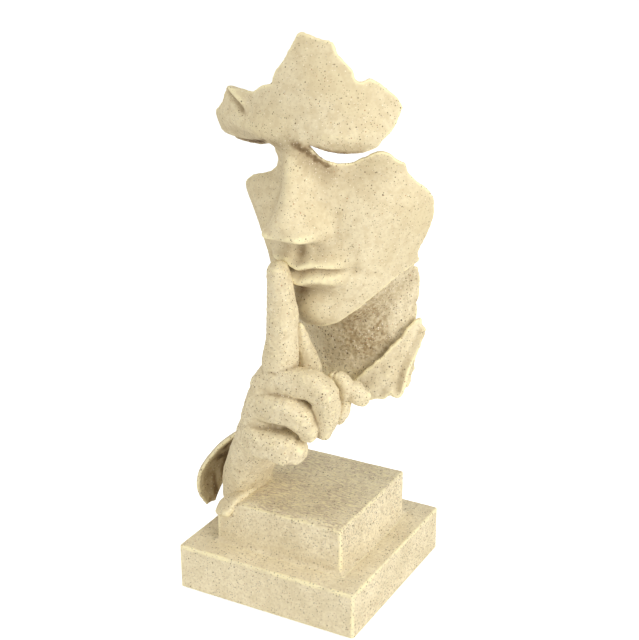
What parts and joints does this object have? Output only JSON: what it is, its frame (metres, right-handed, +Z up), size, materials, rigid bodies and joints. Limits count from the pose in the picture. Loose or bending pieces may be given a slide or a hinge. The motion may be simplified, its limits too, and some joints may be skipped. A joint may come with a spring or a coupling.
{
  "type": "thinker statue",
  "caption": "Cast stone desk ornament: a hollow torn face mask with a raised finger at its lips, standing by its wrist on a two-step square plinth.",
  "frame": {"origin": "middle of the plinth's underside, on the surface it stands on", "axes": "+Z up, the face looks along -Y, +X is the figure's left"},
  "size_m": [0.1349, 0.116, 0.3267],
  "materials": {
    "stone": "matt cream cast stone resin with dark specks",
    "steel": "plain zinc plated steel",
    "felt": "thin felt"
  },
  "bodies": {
    "root": {"lower_tier": "stone", "upper_tier": "stone", "hand": "stone", "face_mask": "stone", "brow_crest": "stone", "neck_shell": "stone", "collar": "stone", "tie_knot": "stone", "tie_tail": "stone", "sleeve_petal": "stone", "sleeve_fold": "stone", "wrist_rod": "steel", "rod_nut": "steel", "rod_washer": "steel", "tier_dowels": "steel", "finger_pin": "steel", "bridge_pins": "steel", "tie_pin": "steel", "base_felt": "felt"}
  },
  "joints": []
}
